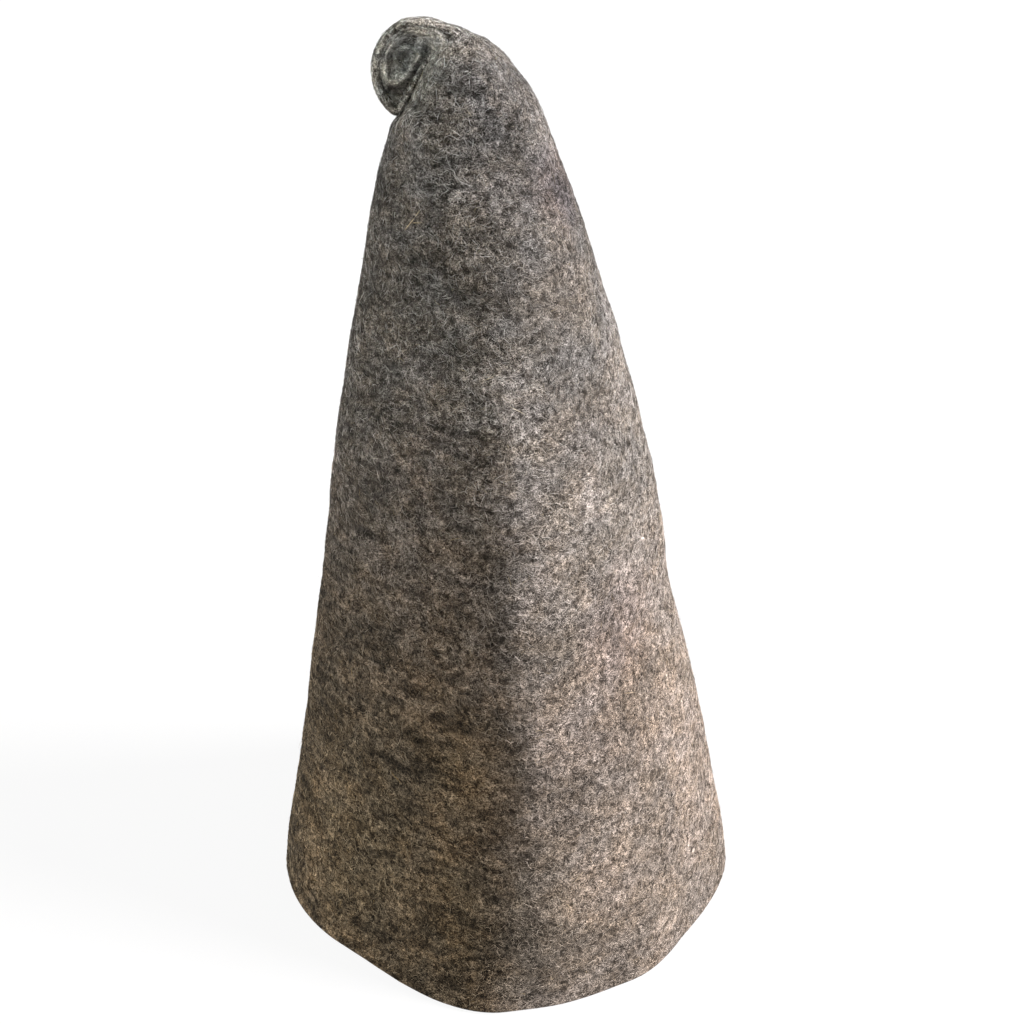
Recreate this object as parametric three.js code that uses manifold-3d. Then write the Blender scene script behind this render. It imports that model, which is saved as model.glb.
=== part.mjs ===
import * as THREE from 'three';
import { mergeVertices } from 'three/addons/utils/BufferGeometryUtils.js';
import Module from 'manifold-3d';

// Felt sauna hat, one wet-felted shell: a tall cone that is open at the hem,
// with a soft fold edge at the front and at the back, and a flattened tip that
// is rolled into a snail on the left. Millimetres, +Z up. The hem stands on
// z = 0 and the front fold edge faces -Y.

// ---- driving sizes ----------------------------------------------------------
const WALL = 3.0;          // thickness of the felt
const HEM_ROUND = 0.6;     // how far the two hem edges are rounded in
const HEM_LIFT = 1.1;      // height over which they round
const CENTRE_X = 2.8;      // puts the middle of the hem on the Z axis
const AROUND = 36;         // points around every section
const TIP_ROUND = 0.55;    // last ring of the rolled end, as a share of its section

// Cone sections. left, right: where the side walls are at this height. depth:
// half size front to back. edge: exponent of the outline, 2 is an ellipse and
// less draws the four corners of a rounded diamond. bulge: the same exponent
// where the outline nears the right side, a little fuller than the left. ridge:
// how far the front and back fold edges lie to the right of the middle. fall:
// how much lower the section is towards the back, as a slope.
const CONE = [
  // z,    left,   right, depth, edge, bulge, ridge, fall
  [0,    -110.4,  104.8, 108.0, 1.59, 1.82, -2.5, 0.00],
  [20,   -108.3,  102.3, 104.8, 1.59, 1.82, -0.5, 0.00],
  [50,   -102.9,   96.2,  99.0, 1.60, 1.81,  2.5, 0.00],
  [85,    -96.9,   88.6,  91.6, 1.61, 1.80,  4.8, 0.00],
  [120,   -91.4,   80.3,  84.4, 1.63, 1.79,  5.3, 0.00],
  [155,   -86.0,   71.2,  77.6, 1.64, 1.78,  5.8, 0.00],
  [190,   -80.7,   65.8,  70.9, 1.65, 1.78,  6.5, 0.00],
  [220,   -76.6,   58.9,  65.0, 1.66, 1.78,  8.0, 0.00],
  [250,   -71.7,   50.5,  58.2, 1.68, 1.78,  8.8, 0.00],
  [280,   -66.3,   41.7,  51.0, 1.70, 1.80,  7.4, 0.02],
  [308,   -60.4,   32.6,  43.8, 1.74, 1.82,  4.4, 0.05],
  [332,   -55.7,   24.6,  37.2, 1.80, 1.86,  1.0, 0.09],
  [349,   -51.3,   18.2,  33.0, 1.88, 1.92, -1.6, 0.13],
];

// Shoulder sections, above the cone: the side walls close in while the two fold
// edges stay apart. The left end of each sits clear of the rolled tip.
const SHOULDER = [
  // leftX, leftZ, rightX, rightZ, depth, edge, ridge
  [-47.6, 360.0,  14.2, 359.4, 31.6, 1.95, -2.2],
  [-42.4, 367.4,  10.8, 367.6, 31.2, 2.00, -2.4],
  [-38.4, 374.4,   6.6, 375.2, 30.2, 2.05, -2.4],
  [-34.5, 381.2,   1.2, 382.3, 28.8, 2.10, -2.0],
  [-31.4, 386.6,  -4.4, 388.7, 27.2, 2.20, -1.4],
  [-28.8, 390.2, -10.4, 393.1, 25.4, 2.30, -0.7],
  [-27.0, 392.4, -16.2, 396.0, 23.8, 2.40,  0.0],
];
const TIP_FALL = 0.15;     // the shoulder and the tip dip towards the back by this slope

// Rolled tip: two felted-together layers that run left over the top, down, back
// up along the shoulder and round again inside. lean: heading of the strip, 0 up
// and 90 to the left. half: half its thickness. width: half its width in Y.
const ROLL = [
  // x,     z,    lean, half, width
  [-25.2, 395.8,  62, 2.80, 22.6],
  [-29.4, 397.2,  80, 2.50, 21.4],
  [-35.0, 397.8,  92, 2.35, 20.2],
  [-40.8, 397.2, 112, 2.35, 19.0],
  [-46.5, 393.5, 138, 2.35, 17.8],
  [-50.3, 388.1, 157, 2.40, 16.6],
  [-51.9, 381.6, 178, 2.45, 15.6],
  [-51.5, 375.1, 194, 2.45, 14.6],
  [-49.6, 370.1, 209, 2.45, 13.6],
  [-47.4, 367.2, 226, 2.55, 13.4],
  [-44.6, 365.3, 264, 2.70, 13.2],
  [-42.5, 367.2, 308, 2.50, 12.8],
  [-40.9, 369.9, 324, 2.20, 12.2],
  [-37.3, 376.1, 325, 1.90, 12.2],
  [-33.6, 381.9, 324, 1.85, 12.8],
  [-30.5, 387.0, 328, 1.90, 15.6],
  [-29.2, 390.0, 351, 1.95, 18.4],
  [-30.0, 392.4, 406, 1.90, 19.0],
  [-33.3, 394.0, 441, 1.85, 18.4],
  [-38.2, 393.9, 467, 1.70, 16.8],
  [-43.4, 391.3, 497, 1.60, 15.2],
  [-46.8, 386.2, 524, 1.50, 14.2],
  [-47.7, 381.0, 542, 1.45, 13.6],
  [-46.9, 377.4, 570, 1.45, 13.2],
  [-44.9, 376.4, 628, 1.40, 13.0],
  [-43.0, 377.2, 668, 1.40, 13.0],
  [-39.6, 380.8, 681, 1.40, 13.2],
  [-36.6, 385.0, 684, 1.30, 13.0],
  [-35.6, 387.4, 705, 1.10, 12.2],
];
const ROLL_EDGE = 2.5;     // exponent of the strip's flattened outline

// Core of the roll: the felt between its turns, matted together. It fills the roll
// from the outer turn to the shoulder, and the turns stand out of it at both ends.
const CORE_DEPTH = 19.0;   // its thickness in Y
const CORE = [
  // x,     z
  [-29.2, 397.0],
  [-35.0, 397.7],
  [-40.6, 397.0],
  [-46.5, 393.5],
  [-50.3, 388.1],
  [-51.9, 381.6],
  [-51.5, 375.1],
  [-49.6, 370.1],
  [-47.8, 367.4],
  [-45.0, 365.9],
  [-42.0, 366.0],
  [-39.8, 368.2],
  [-35.6, 374.6],
  [-31.6, 381.3],
  [-27.4, 386.5],
  [-23.6, 389.9],
  [-22.4, 392.8],
  [-24.6, 395.4],
];

// Hollow under the shoulder, up to where the two layers are felted together.
const HOLLOW = [
  // leftX, leftZ, rightX, rightZ, depth, edge, ridge
  [-43.6, 358.6,  10.4, 358.4, 28.3, 1.95, -2.2],
  [-37.6, 366.2,   6.6, 366.0, 27.6, 2.00, -2.4],
  [-32.8, 373.2,   1.4, 373.0, 26.4, 2.05, -2.4],
  [-28.8, 379.4,  -5.0, 379.4, 24.8, 2.10, -2.0],
  [-25.6, 384.0, -11.4, 384.4, 22.6, 2.20, -1.4],
];
const HOLLOW_TOP = [-18.6, 387.6]; // x, z of the hollow's blind end

// ---- helpers ----------------------------------------------------------------
// Rows of a table with `steps` more rows between each two, on a smooth curve
// through all columns (the parameter follows the rows' spacing).
function refine(rows, steps) {
  const at = (i) => rows[Math.min(Math.max(i, 0), rows.length - 1)];
  const out = [];
  for (let i = 0; i < rows.length - 1; i += 1) {
    for (let s = 0; s <= steps; s += 1) {
      const t = s / (steps + 1);
      out.push(at(i).map((v, c) => {
        const p0 = at(i - 1)[c], p1 = v, p2 = at(i + 1)[c], p3 = at(i + 2)[c];
        return 0.5 * (2 * p1 + (p2 - p0) * t + (2 * p0 - 5 * p1 + 4 * p2 - p3) * t * t
          + (3 * p1 - p0 - 3 * p2 + p3) * t * t * t);
      }));
    }
  }
  out.push(rows[rows.length - 1]);
  return out;
}

const power = (v, e) => Math.sign(v) * Math.abs(v) ** (2 / e);

// One closed section. It lies across the direction that leans by `lean` degrees
// from straight up towards the left, around x, z. half and depth are its half
// sizes, and shrink scales both.
function section({ x, z, lean = 0, half, depth, edge, bulge = edge, ridge = 0, fall = 0 }, shrink = 1) {
  const a = THREE.MathUtils.degToRad(lean);
  const points = [];
  for (let i = 0; i < AROUND; i += 1) {
    const turn = (2 * Math.PI * i) / AROUND;
    const c = Math.cos(turn), front = power(Math.sin(turn), edge);
    const side = power(c, c > 0 ? bulge : edge);
    const across = shrink * (half * side + ridge * front * front);
    const y = shrink * depth * front;
    points.push([x + CENTRE_X + across * Math.cos(a), y, z + across * Math.sin(a) - fall * y]);
  }
  return points;
}

const fromSides = ([z, left, right, depth, edge, bulge, ridge, fall], inset = 0) => ({
  x: (left + right) / 2, z, half: (right - left) / 2 - inset, depth: depth - inset, edge, bulge, ridge, fall,
});

const fromEnds = ([leftX, leftZ, rightX, rightZ, depth, edge, ridge]) => ({
  x: (leftX + rightX) / 2,
  z: (leftZ + rightZ) / 2,
  lean: THREE.MathUtils.radToDeg(Math.atan2(rightZ - leftZ, rightX - leftX)),
  half: Math.hypot(rightX - leftX, rightZ - leftZ) / 2,
  depth, edge, ridge,
  fall: TIP_FALL,
});

const fromRoll = ([x, z, lean, half, width]) => ({
  x, z, lean, half, depth: width, edge: ROLL_EDGE, fall: TIP_FALL,
});

// A level wall that slopes is thinner square to itself than it is level, so the
// inset of each inner ring is the wall over the slope's cosine.
function innerInset(rows, i) {
  const a = rows[Math.max(i - 1, 0)], b = rows[Math.min(i + 1, rows.length - 1)];
  const slope = ((b[2] - b[1]) - (a[2] - a[1])) / 2 / (b[0] - a[0]);
  return WALL * Math.hypot(1, slope);
}

// ---- rings, from the hollow's blind end down, round the hem and up the outside
function felt() {
  const cone = refine(CONE, 1);
  const hemDown = (row) => [0, ...row.slice(1)];
  const rings = [];

  const inner = [
    ...cone.map((row, i) => fromSides(row, innerInset(cone, i))).slice(1),
    ...refine(HOLLOW, 0).map((row) => fromEnds(row)),
  ];
  const insetAtHem = innerInset(cone, 0);
  const lifted = (inset) => ({ ...fromSides(hemDown(cone[0]), inset), z: HEM_LIFT });
  rings.push(...inner.map((s) => section(s)).reverse());
  rings.push(section(lifted(insetAtHem)));
  rings.push(section(fromSides(hemDown(cone[0]), insetAtHem - HEM_ROUND)));
  rings.push(section(fromSides(hemDown(cone[0]), HEM_ROUND)));
  rings.push(section(lifted(0)));

  rings.push(...cone.slice(1).map((row) => section(fromSides(row))));
  rings.push(...refine(SHOULDER, 1).map((row) => section(fromEnds(row))));
  rings.push(...refine(ROLL, 1).map((row) => section(fromRoll(row))));
  const end = fromRoll(ROLL[ROLL.length - 1]);
  const last = THREE.MathUtils.degToRad(end.lean);
  const past = { ...end, x: end.x - 0.7 * Math.sin(last), z: end.z + 0.7 * Math.cos(last) };
  rings.push(section(past, TIP_ROUND));

  const start = [HOLLOW_TOP[0] + CENTRE_X, 0, HOLLOW_TOP[1]];
  const finish = [past.x + CENTRE_X - 0.15 * Math.sin(last), 0, past.z + 0.15 * Math.cos(last)];
  return loft(rings, start, finish);
}

// Closed mesh through the rings, with a point at each end.
function loft(rings, start, finish) {
  const n = AROUND;
  const position = [...start, ...rings.flat(2), ...finish];
  const index = [];
  const id = (r, i) => 1 + r * n + (i % n);
  const end = 1 + rings.length * n;
  for (let i = 0; i < n; i += 1) {
    index.push(0, id(0, i + 1), id(0, i));
    index.push(end, id(rings.length - 1, i), id(rings.length - 1, i + 1));
  }
  for (let r = 0; r < rings.length - 1; r += 1) {
    for (let i = 0; i < n; i += 1) {
      index.push(id(r, i), id(r + 1, i + 1), id(r + 1, i));
      index.push(id(r, i), id(r, i + 1), id(r + 1, i + 1));
    }
  }
  const geometry = new THREE.BufferGeometry();
  geometry.setAttribute('position', new THREE.Float32BufferAttribute(position, 3));
  geometry.setIndex(index);
  geometry.computeVertexNormals();
  return geometry;
}

// The core as a plate across Y that dips towards the back like the roll.
function core() {
  const outline = new THREE.Shape(CORE.map(([x, z]) => new THREE.Vector2(x + CENTRE_X, z)));
  const plate = new THREE.ExtrudeGeometry(outline, { depth: CORE_DEPTH, bevelEnabled: false, steps: 1 });
  plate.rotateX(Math.PI / 2);
  plate.translate(0, CORE_DEPTH / 2, 0);
  plate.applyMatrix4(new THREE.Matrix4().makeShear(0, 0, 0, -TIP_FALL, 0, 0));
  return plate;
}

// Joins closed meshes into one.
const wasm = await Module();
wasm.setup();

function solid(geometry) {
  const bare = new THREE.BufferGeometry();
  bare.setAttribute('position', geometry.getAttribute('position'));
  if (geometry.index) bare.setIndex(geometry.index);
  const merged = mergeVertices(bare, 1e-4);
  return new wasm.Manifold(new wasm.Mesh({
    numProp: 3,
    vertProperties: new Float32Array(merged.getAttribute('position').array),
    triVerts: new Uint32Array(merged.index.array),
  }));
}

function joined(...geometries) {
  const mesh = geometries.map(solid).reduce((whole, next) => whole.add(next)).getMesh();
  const geometry = new THREE.BufferGeometry();
  geometry.setAttribute('position', new THREE.Float32BufferAttribute(mesh.vertProperties, 3));
  geometry.setIndex([...mesh.triVerts]);
  geometry.computeVertexNormals();
  return geometry;
}

// ---- the hat ------------------------------------------------------------------
const wool = new THREE.MeshStandardMaterial({ color: 0x756a5f, roughness: 0.97, metalness: 0 });
const hat = new THREE.Mesh(joined(felt(), core()), wool);
hat.name = 'felt_hat';

const part = new THREE.Group();
part.name = 'felt_sauna_hat';
part.add(hat);

export default part;
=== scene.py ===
"""Felt sauna hat: a tall hand-felted cone of undyed grey-brown wool with a soft
fold edge at the front and at the back and a flattened tip rolled into a snail.
Sizes below are millimetres in the frame's axes, and become metres in mesh()."""

import math

import bpy
import numpy as np
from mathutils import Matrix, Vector


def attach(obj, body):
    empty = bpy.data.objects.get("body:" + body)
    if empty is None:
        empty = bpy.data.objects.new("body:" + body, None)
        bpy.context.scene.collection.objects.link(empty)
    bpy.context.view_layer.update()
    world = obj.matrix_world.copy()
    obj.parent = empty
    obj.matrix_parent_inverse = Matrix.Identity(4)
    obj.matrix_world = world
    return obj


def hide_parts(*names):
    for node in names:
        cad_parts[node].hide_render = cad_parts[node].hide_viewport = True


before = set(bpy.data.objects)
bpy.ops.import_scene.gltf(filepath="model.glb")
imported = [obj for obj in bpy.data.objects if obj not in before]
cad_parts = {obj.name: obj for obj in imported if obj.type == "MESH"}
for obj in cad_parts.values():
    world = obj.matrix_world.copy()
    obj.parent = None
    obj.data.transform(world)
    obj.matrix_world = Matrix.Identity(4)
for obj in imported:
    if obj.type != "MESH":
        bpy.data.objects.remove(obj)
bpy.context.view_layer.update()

# ---- the hat's sections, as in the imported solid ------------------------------
CENTRE_X = 2.8
WALL = 3.0
SOFT_EDGE = 0.27  # how much the four corners of a section are softened

CONE = [
    # z, left, right, depth, edge, bulge, ridge, fall
    (0, -110.4, 104.8, 108.0, 1.57, 1.80, -2.5, 0.00),
    (20, -108.3, 102.3, 104.8, 1.51, 1.70, 4.5, 0.00),
    (50, -102.9, 96.2, 99.0, 1.46, 1.62, 10.5, 0.00),
    (85, -96.9, 88.6, 91.6, 1.44, 1.58, 12.5, 0.00),
    (120, -91.4, 80.3, 84.4, 1.44, 1.57, 12.0, 0.00),
    (155, -86.0, 71.2, 77.6, 1.45, 1.57, 10.5, 0.00),
    (190, -80.7, 65.8, 70.9, 1.47, 1.58, 9.5, 0.00),
    (220, -76.6, 58.9, 65.0, 1.50, 1.60, 9.5, 0.00),
    (250, -71.7, 50.5, 58.2, 1.54, 1.63, 9.6, 0.00),
    (280, -66.3, 41.7, 51.0, 1.59, 1.68, 8.8, 0.02),
    (308, -60.4, 32.6, 43.8, 1.66, 1.75, 4.4, 0.05),
    (332, -55.7, 24.6, 37.2, 1.76, 1.83, 1.0, 0.09),
    (349, -51.3, 18.2, 33.0, 1.86, 1.90, -1.6, 0.13),
]
SHOULDER = [
    # left x, left z, right x, right z, depth, edge, ridge
    (-47.6, 360.0, 14.2, 359.4, 31.6, 1.95, -2.2),
    (-42.4, 367.4, 10.8, 367.6, 31.2, 2.00, -2.4),
    (-38.4, 374.4, 6.6, 375.2, 30.2, 2.05, -2.4),
    (-34.5, 381.2, 1.2, 382.3, 28.8, 2.10, -2.0),
    (-31.4, 386.6, -4.4, 388.7, 27.2, 2.20, -1.4),
    (-28.8, 390.2, -10.4, 393.1, 25.4, 2.30, -0.7),
    (-27.0, 392.4, -16.2, 396.0, 23.8, 2.40, 0.0),
]
TIP_FALL = 0.15
ROLL = [
    # x, z, lean, half thickness at the edges, half width
    (-25.2, 395.8, 62, 2.80, 22.6),
    (-29.4, 397.2, 80, 2.50, 21.4),
    (-35.0, 397.8, 92, 2.35, 20.2),
    (-40.8, 397.2, 112, 2.35, 19.0),
    (-46.5, 393.5, 138, 2.35, 17.8),
    (-50.3, 388.1, 157, 2.40, 16.6),
    (-51.9, 381.6, 178, 2.45, 15.6),
    (-51.5, 375.1, 194, 2.45, 14.6),
    (-49.6, 370.1, 209, 2.45, 13.6),
    (-47.4, 367.2, 226, 2.55, 13.4),
    (-44.6, 365.3, 264, 2.70, 13.2),
    (-42.5, 367.2, 308, 2.50, 12.8),
    (-40.9, 369.9, 324, 2.20, 12.2),
    (-37.3, 376.1, 325, 1.90, 11.6),
    (-33.6, 381.9, 324, 1.85, 11.4),
    (-30.3, 387.2, 326, 1.90, 12.0),
    (-29.2, 389.8, 351, 2.00, 13.4),
    (-30.0, 391.8, 406, 2.00, 14.2),
    (-33.3, 393.2, 441, 1.85, 14.0),
    (-37.4, 393.1, 462, 1.50, 12.5),
    (-40.2, 391.6, 482, 0.90, 10.0),
]
ROLL_EDGE = 2.5
HOLLOW = [
    # left x, left z, right x, right z, depth, edge, ridge
    (-43.6, 358.6, 10.4, 358.4, 28.3, 1.95, -2.2),
    (-37.6, 366.2, 6.6, 366.0, 27.6, 2.00, -2.4),
    (-32.8, 373.2, 1.4, 373.0, 26.4, 2.05, -2.4),
    (-28.8, 379.4, -5.0, 379.4, 24.8, 2.10, -2.0),
    (-25.6, 384.0, -11.4, 384.4, 22.6, 2.20, -1.4),
    (-22.0, 386.6, -15.4, 386.9, 19.0, 2.30, -0.8),
]
AROUND = 180

# The roll's core: the turns inside the outer one, felted onto each other. Its
# outline lies inside the outer turn and the hat's own wall.
CORE_AXIS = (-38.6, 381.5)
CORE_OUTLINE = [
    # x, z
    (-29.2, 397.5),
    (-35.0, 398.3),
    (-40.6, 397.3),
    (-46.5, 393.5),
    (-50.3, 388.1),
    (-51.9, 381.6),
    (-51.5, 375.1),
    (-49.6, 370.1),
    (-47.8, 367.4),
    (-45.0, 365.9),
    (-42.0, 366.0),
    (-39.6, 367.6),
    (-34.9, 374.6),
    (-30.0, 381.3),
    (-25.0, 386.1),
    (-21.4, 389.7),
    (-20.6, 392.8),
    (-23.4, 395.2),
]
CORE_FRONT = 9.6  # how far the valleys between its turns stand from the middle
CORE_RISE = 0.12  # more towards the top, for each millimetre above its axis
CORE_CREST = [
    # x, z, front, half width: the fold edge of the inner turns, from outside in
    (-28.4, 391.0, 20.8, 2.4),
    (-29.2, 393.2, 20.9, 2.4),
    (-32.0, 394.4, 20.0, 2.1),
    (-35.0, 395.1, 18.8, 1.8),
    (-37.5, 395.4, 17.6, 1.6),
    (-41.0, 394.0, 16.3, 1.5),
    (-44.5, 391.4, 15.4, 1.4),
    (-47.1, 388.0, 14.4, 1.2),
    (-48.2, 385.0, 14.0, 1.2),
    (-48.5, 382.0, 13.7, 1.2),
    (-48.4, 379.0, 13.4, 1.2),
    (-47.5, 376.3, 13.1, 1.3),
    (-45.4, 375.5, 13.0, 1.4),
    (-43.0, 376.4, 13.0, 1.4),
    (-40.7, 378.5, 13.1, 1.4),
    (-38.9, 380.5, 13.2, 1.4),
    (-36.9, 383.2, 13.2, 1.3),
    (-35.3, 385.6, 13.0, 1.2),
    (-35.1, 386.9, 12.7, 1.2),
    (-36.2, 388.0, 12.4, 1.1),
    (-38.1, 388.8, 12.2, 1.1),
    (-40.7, 389.1, 12.2, 1.1),
    (-43.4, 388.6, 12.3, 1.1),
    (-45.0, 386.9, 12.4, 1.0),
    (-43.9, 384.3, 12.4, 1.0),
    (-42.7, 382.0, 12.4, 1.0),
    (-41.6, 379.8, 12.5, 1.0),
]
CORE_SHELF = [
    # x, z, front, half width: where the core meets the outer turn
    (-25.0, 391.6, 23.4, 3.4),
    (-27.6, 394.8, 22.2, 2.6),
    (-32.6, 396.2, 20.8, 1.7),
    (-36.8, 396.6, 18.8, 1.4),
    (-40.9, 395.8, 17.2, 1.3),
    (-45.4, 392.9, 15.8, 1.2),
    (-48.6, 388.5, 14.4, 1.1),
    (-50.0, 383.5, 13.8, 1.1),
    (-49.9, 378.5, 13.2, 1.1),
    (-48.7, 374.4, 12.6, 1.1),
]
CORE_SPOTS = [
    # x, z, out, radius: pits (out below 0) and lumps between the turns
    (-33.2, 387.4, -2.6, 1.5),
    (-46.6, 373.3, -2.6, 1.5),
    (-43.4, 372.4, -3.0, 1.7),
    (-40.6, 385.2, -3.4, 1.7),
    (-41.9, 391.2, -1.3, 1.1),
    (-38.6, 392.2, -1.4, 1.3),
    (-46.2, 384.0, -1.2, 1.0),
    (-44.9, 379.8, -1.2, 1.1),
    (-34.6, 391.4, 2.6, 1.8),
]

# The hem's own shape: how far it stands out at an azimuth from the front, + to the
# right. It fades upwards.
HEM_FADE = 40.0
HEM_WAVE = [
    # azimuth, out
    (-160, -0.8),
    (-135, 1.5),
    (-110, -0.4),
    (-84, 0.6),
    (-70, 1.9),
    (-55, 1.4),
    (-46, -0.7),
    (-36, -1.3),
    (-27, 0.0),
    (-17, 1.6),
    (-6, 1.9),
    (3, 0.6),
    (13, 1.1),
    (25, 2.2),
    (35, 4.2),
    (44, 2.8),
    (52, 0.5),
    (66, -0.4),
    (82, 0.0),
    (102, 0.7),
    (125, 1.8),
    (150, -1.0),
    (176, 1.2),
]


# ---- section helpers ------------------------------------------------------------
def from_sides(row, inset=0.0):
    z, left, right, depth, edge, bulge, ridge, fall = row
    return ((left + right) / 2, z, 0.0, (right - left) / 2 - inset, depth - inset, edge, bulge, ridge, fall)


def from_ends(row):
    lx, lz, rx, rz, depth, edge, ridge = row
    lean = math.degrees(math.atan2(rz - lz, rx - lx))
    return ((lx + rx) / 2, (lz + rz) / 2, lean, math.hypot(rx - lx, rz - lz) / 2, depth, edge, edge, ridge, TIP_FALL)


def from_roll(row):
    x, z, lean, half, width = row
    return (x, z, lean, half, width, ROLL_EDGE, ROLL_EDGE, 0.0, TIP_FALL)


def lengths(rows):
    """Distance along the surface between sections, from their two side ends."""
    r = np.array(rows)
    a = np.radians(r[:, 2])
    ends = [np.c_[r[:, 0] + s * r[:, 3] * np.cos(a), r[:, 1] + s * r[:, 3] * np.sin(a)] for s in (-1, 1)]
    step = sum(np.hypot(*np.diff(e, axis=0).T) for e in ends) / 2
    return np.r_[0, np.cumsum(step)]


def smooth_rows(rows, at, where):
    """Rows at the places `where`, on a smooth curve through rows that lie at `at`."""
    p = np.array(rows, float)
    slope = np.gradient(p, at, axis=0)
    i = np.clip(np.searchsorted(at, where, side="right") - 1, 0, len(at) - 2)
    h = (at[i + 1] - at[i])[:, None]
    t = ((where - at[i]) / h[:, 0])[:, None]
    return (
        (2 * t**3 - 3 * t**2 + 1) * p[i]
        + (t**3 - 2 * t**2 + t) * h * slope[i]
        + (3 * t**2 - 2 * t**3) * p[i + 1]
        + (t**3 - t**2) * h * slope[i + 1]
    )


def soft_power(v, edge):
    return v * ((v * v + SOFT_EDGE**2) / (1 + SOFT_EDGE**2)) ** (1 / edge - 0.5)


def rings(sections, around=AROUND):
    """Points of the sections: an array of sections by `around` by 3."""
    s = np.asarray(sections, float)
    turn = 2 * np.pi * np.arange(around) / around
    c, q = np.cos(turn)[None], np.sin(turn)[None]
    x, z, lean, half, depth, edge, bulge, ridge, fall = (s[:, k][:, None] for k in range(9))
    front = soft_power(q, edge)
    side = np.where(c > 0, soft_power(c, bulge), soft_power(c, edge))
    across = half * side + ridge * front * front
    a = np.radians(lean)
    y = depth * front
    return np.stack([x + CENTRE_X + across * np.cos(a), y + 0 * a, z + across * np.sin(a) - fall * y], -1)


def grid_normals(p):
    """Unit normals of a grid of rings, outwards where the rings run upwards."""
    up = np.gradient(p, axis=0)
    round_ = (np.roll(p, -1, 1) - np.roll(p, 1, 1)) / 2
    n = np.cross(round_, up)
    return n / np.maximum(np.linalg.norm(n, axis=2, keepdims=True), 1e-9)


# ---- noise: sums of seeded waves, the same at each run ---------------------------
def waves(points, size, seed, count=48, squash=(1, 1, 1)):
    """A smooth random field of mean 0 and spread 1, with bumps about `size` mm apart."""
    rng = np.random.default_rng(seed)
    d = rng.normal(size=(count, 3))
    d /= np.linalg.norm(d, axis=1, keepdims=True)
    k = d * (2 * np.pi / (size * rng.uniform(0.75, 1.35, count)))[:, None] / np.array(squash)
    phase = rng.uniform(0, 2 * np.pi, count)
    flat = points.reshape(-1, 3)
    out = np.zeros(len(flat))
    for kk, ph in zip(k, phase):
        out += np.sin(flat @ kk + ph)
    return (out * math.sqrt(2 / count)).reshape(points.shape[:-1])


def hem_wave(p):
    """The hem's offset from its smooth outline, in mm."""
    table = np.array(HEM_WAVE, float)
    wide = np.concatenate([table - (360, 0), table, table + (360, 0)])
    azimuth = np.degrees(np.arctan2(p[..., 0] - CENTRE_X, -p[..., 1]))
    out = smooth_rows(wide, wide[:, 0], azimuth.ravel())[:, 1].reshape(azimuth.shape)
    return out * np.exp(-((p[..., 2] / HEM_FADE) ** 1.4))


# Shallow creases in the felt: where they are (height and azimuth from the front,
# + to the right), how long, how wide and how deep.
CREASES = [
    # z, azimuth, half length, half width, depth, slant
    (60, 26, 30, 3.2, 0.55, 0.05),
    (82, 44, 26, 2.6, 0.45, -0.04),
    (98, 10, 34, 3.4, 0.50, 0.03),
    (128, 38, 22, 2.8, 0.35, 0.06),
    (186, 30, 30, 3.0, 0.55, 0.02),
    (204, 58, 22, 2.6, 0.35, -0.05),
    (232, -32, 26, 3.0, 0.35, 0.05),
    (150, -48, 30, 3.4, 0.40, -0.03),
    (110, -30, 26, 3.2, 0.40, 0.04),
    (70, -60, 34, 3.6, 0.45, -0.03),
    (268, 34, 20, 2.6, 0.35, 0.08),
    (290, -20, 18, 2.6, 0.30, -0.05),
    (48, 150, 36, 3.6, 0.50, 0.03),
    (92, 205, 34, 3.2, 0.50, -0.04),
    (140, 172, 30, 3.0, 0.45, 0.05),
    (196, 150, 26, 3.0, 0.45, -0.02),
    (242, 198, 24, 2.8, 0.40, 0.04),
    (118, 112, 28, 3.0, 0.40, 0.04),
    (176, -112, 28, 3.0, 0.45, -0.04),
    (64, -120, 30, 3.4, 0.45, 0.03),
]


def creases(p):
    x, y, z = p[..., 0] - CENTRE_X + 8 * np.clip(p[..., 2] / 250, 0, 1), p[..., 1], p[..., 2]
    azimuth = np.degrees(np.arctan2(x, -y))
    radius = np.hypot(x, y)
    out = np.zeros(z.shape)
    for cz, ca, length, width, depth, slant in CREASES:
        da = (azimuth - ca + 180) % 360 - 180
        along = np.radians(da) * radius
        off = z - cz - slant * along - 1.5 * np.sin(along / 9 + cz)
        out -= depth * np.exp(-((along / length) ** 4)) * np.exp(-((off / width) ** 2))
    return out


def relief(p, normal, roll):
    """How far the felt stands out of its smooth form. roll is 1 on the rolled tip."""
    calm = (1 - 0.55 * roll) * (1 - 0.6 * normal[..., 0] ** 2)
    dents = 0.9 * waves(p, 95, 11, squash=(1, 1, 1.2)) * (1 - roll) * (1 - 0.85 * normal[..., 0] ** 2)
    lumps = 0.32 * waves(p, 33, 12, squash=(1, 1, 0.8)) * calm
    small = 0.12 * waves(p, 13, 13, squash=(1.2, 1.2, 0.8)) * calm
    fine = 0.06 * waves(p, 8.5, 14, 64) * (1 - 0.6 * normal[..., 0] ** 2)
    return dents + lumps + small + fine + creases(p) * (1 - 0.8 * normal[..., 0] ** 2)


# ---- the felt -------------------------------------------------------------------
outer_rows = (
    [from_sides(r) for r in CONE] + [from_ends(r) for r in SHOULDER] + [from_roll(r) for r in ROLL]
)
outer_at = lengths(outer_rows)
roll_from = outer_at[len(CONE) + len(SHOULDER)]
shoulder_from = outer_at[len(CONE) - 1]
where = np.concatenate([
    np.linspace(0, shoulder_from, 128, endpoint=False),
    np.linspace(shoulder_from, roll_from, 40, endpoint=False),
    np.linspace(roll_from, outer_at[-1], 116),
])
outer = rings(smooth_rows(outer_rows, outer_at, where))
on_roll = np.clip((where - roll_from + 6) / 14, 0, 1)[:, None] + np.zeros((1, AROUND))

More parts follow.
